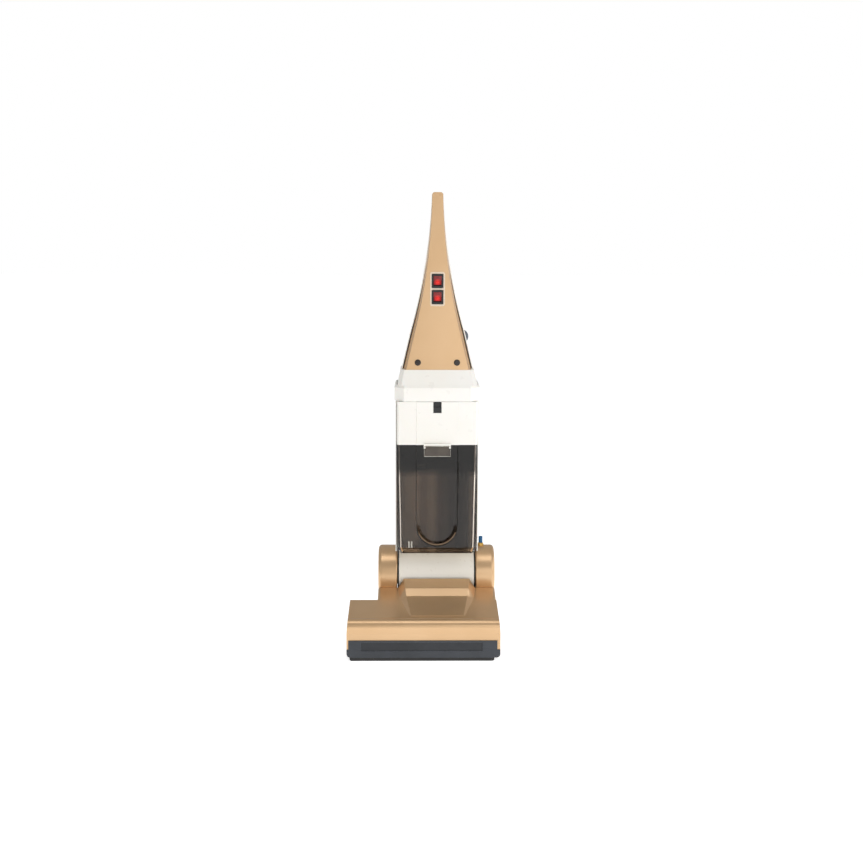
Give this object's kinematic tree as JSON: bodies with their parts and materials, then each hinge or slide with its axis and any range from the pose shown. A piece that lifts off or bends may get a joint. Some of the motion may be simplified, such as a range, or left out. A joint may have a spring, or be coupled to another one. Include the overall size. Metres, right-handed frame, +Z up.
{
  "type": "carpet cleaner machine",
  "caption": "Upright carpet extractor with an offset wide floor head, reclining body, smoked recovery tank, flared handle and rocker switches.",
  "frame": {"origin": "on the floor, at the centre of the machine's footprint", "axes": "+X to the right seen from the front, +Y from the floor head to the rear wheels, +Z up along the upright body"},
  "size_m": [0.364, 0.3303, 1.0992],
  "materials": {
    "gold_shell": "satin champagne-gold metallic paint on moulded plastic",
    "white_shell": "smooth warm white",
    "grey_trim": "fine moulded grain",
    "smoked_clear": "smoked brown clear plastic",
    "black_plastic": "black moulded",
    "bumper_plastic": "dark blue-grey moulded",
    "soft_rubber": "soft black rubber",
    "tyre_rubber": "matt grey-black",
    "wheel_plastic": "grey moulded",
    "bristle": "nylon tufts",
    "steel": "bright turned",
    "bearing_bronze": "sintered bronze",
    "motor_can": "cast",
    "brass_fitting": "turned brass",
    "blue_cap": "blue moulded",
    "red_lens": "red translucent, lit",
    "cap_screw": "dark domed caps",
    "clean_tank": "natural moulded",
    "float_foam": "light hollow float"
  },
  "bodies": {
    "base": {"base_chassis": "black_plastic", "front_hood": "gold_shell", "front_bumper": "bumper_plastic", "bumper_window": "bumper_plastic", "squeegee_lip": "soft_rubber", "brush_housing": "black_plastic", "brush_bearings": "bearing_bronze", "drive_belt": "soft_rubber", "brush_motor": "motor_can", "spray_bar": "steel", "rear_axle": "steel", "rear_deck": "gold_shell", "neck_cover": "gold_shell", "left_pivot_cover": "gold_shell", "right_pivot_cover": "gold_shell", "pivot_pins": "steel", "hose_nipple": "brass_fitting"},
    "brush": {"brush_core": "wheel_plastic", "brush_bristles": "bristle", "brush_pulley": "steel"},
    "brush_motor_rotor": {"motor_shaft": "steel", "motor_pulley": "steel"},
    "left_rear_wheel": {"left_wheel": "wheel_plastic", "left_tyre": "tyre_rubber"},
    "right_rear_wheel": {"right_wheel": "wheel_plastic", "right_tyre": "tyre_rubber"},
    "rollers": {"front_rollers": "wheel_plastic"},
    "pedal": {"release_pedal": "black_plastic"},
    "hose_cap": {"nipple_cap": "blue_cap"},
    "upright": {"motor_barrel": "white_shell", "barrel_end_caps": "black_plastic", "vacuum_motor": "motor_can", "rear_shell": "white_shell", "solution_tank": "clean_tank", "water_pump": "black_plastic", "shoulder_band": "white_shell", "shoulder_cover": "white_shell", "handle_cover": "gold_shell", "handle_back": "white_shell", "grip_loop": "grey_trim", "switch_surround": "grey_trim", "switch_frames": "black_plastic", "handle_screws": "cap_screw", "cord_gland": "grey_trim", "lower_cord_hook": "grey_trim"},
    "fan": {"vacuum_fan": "wheel_plastic"},
    "filler_cap": {"solution_cap": "grey_trim"},
    "lower_switch": {"lower_rocker": "red_lens"},
    "upper_switch": {"upper_rocker": "red_lens"},
    "cord_hook": {"upper_cord_hook": "grey_trim"},
    "tank": {"recovery_tank": "smoked_clear", "inlet_standpipe": "black_plastic", "tank_gasket": "soft_rubber", "tank_lid": "white_shell", "float_cage": "black_plastic"},
    "float": {"tank_float": "float_foam"},
    "clip": {"lid_clip": "smoked_clear"},
    "latch": {"latch_button": "black_plastic"}
  },
  "joints": [
    {"name": "recline", "type": "hinge", "parent": "base", "child": "upright", "pos_m": [0.033, 0.06, 0.163], "axis": [-1, 0, 0], "range_deg": [0, 75]},
    {"name": "brush_spin", "type": "hinge", "parent": "base", "child": "brush", "pos_m": [0, -0.103, 0.035], "axis": [1, 0, 0], "continuous": true},
    {"name": "brush_motor_spin", "type": "hinge", "parent": "base", "child": "brush_motor_rotor", "pos_m": [0.033, -0.02, 0.072], "axis": [1, 0, 0], "continuous": true},
    {"name": "left_wheel_roll", "type": "hinge", "parent": "base", "child": "left_rear_wheel", "pos_m": [0.033, 0.115, 0.048], "axis": [1, 0, 0], "continuous": true},
    {"name": "right_wheel_roll", "type": "hinge", "parent": "base", "child": "right_rear_wheel", "pos_m": [0.033, 0.115, 0.048], "axis": [1, 0, 0], "continuous": true},
    {"name": "roller_roll", "type": "hinge", "parent": "base", "child": "rollers", "pos_m": [0.033, -0.036, 0.013], "axis": [1, 0, 0], "continuous": true},
    {"name": "pedal_press", "type": "hinge", "parent": "base", "child": "pedal", "pos_m": [-0.007, 0.122, 0.062], "axis": [-1, 0, 0], "range_deg": [0, 12], "stiffness_Nm_per_rad": 3},
    {"name": "hose_cap_pull", "type": "slide", "parent": "base", "child": "hose_cap", "axis": [0, 0, 1], "range_m": [0, 0.02]},
    {"name": "fan_spin", "type": "hinge", "parent": "upright", "child": "fan", "pos_m": [0.033, 0.06, 0.163], "axis": [1, 0, 0], "continuous": true},
    {"name": "filler_cap_turn", "type": "hinge", "parent": "upright", "child": "filler_cap", "pos_m": [0.033, 0.102, 0.5606], "axis": [0, 1, 0], "range_deg": [0, 270]},
    {"name": "lower_rocker_press", "type": "hinge", "parent": "upright", "child": "lower_switch", "pos_m": [0.033, -0.00888, 0.85091], "axis": [1, 0, 0], "range_deg": [0, 16]},
    {"name": "upper_rocker_press", "type": "hinge", "parent": "upright", "child": "upper_switch", "pos_m": [0.033, -0.0062, 0.88921], "axis": [1, 0, 0], "range_deg": [0, 16]},
    {"name": "cord_hook_turn", "type": "hinge", "parent": "upright", "child": "cord_hook", "pos_m": [0.033, 0.07935, 0.75071], "axis": [0, 0.9976, -0.0698], "range_deg": [-90, 0]},
    {"name": "tank_pull", "type": "slide", "parent": "upright", "child": "tank", "axis": [0, -1, 0], "range_m": [0, 0.12]},
    {"name": "float_rise", "type": "slide", "parent": "tank", "child": "float", "axis": [0, 0, 1], "range_m": [0, 0.027]},
    {"name": "clip_swing", "type": "hinge", "parent": "tank", "child": "clip", "pos_m": [0.033, -0.0527, 0.4946], "axis": [-1, 0, 0], "range_deg": [0, 60]},
    {"name": "latch_press", "type": "slide", "parent": "tank", "child": "latch", "axis": [0, 1, 0], "range_m": [0, 0.0035], "stiffness_N_per_m": 400}
  ],
  "couplings": [
    {"joint": "brush_motor_spin", "follows": "brush_spin", "ratio": 1.5556}
  ]
}
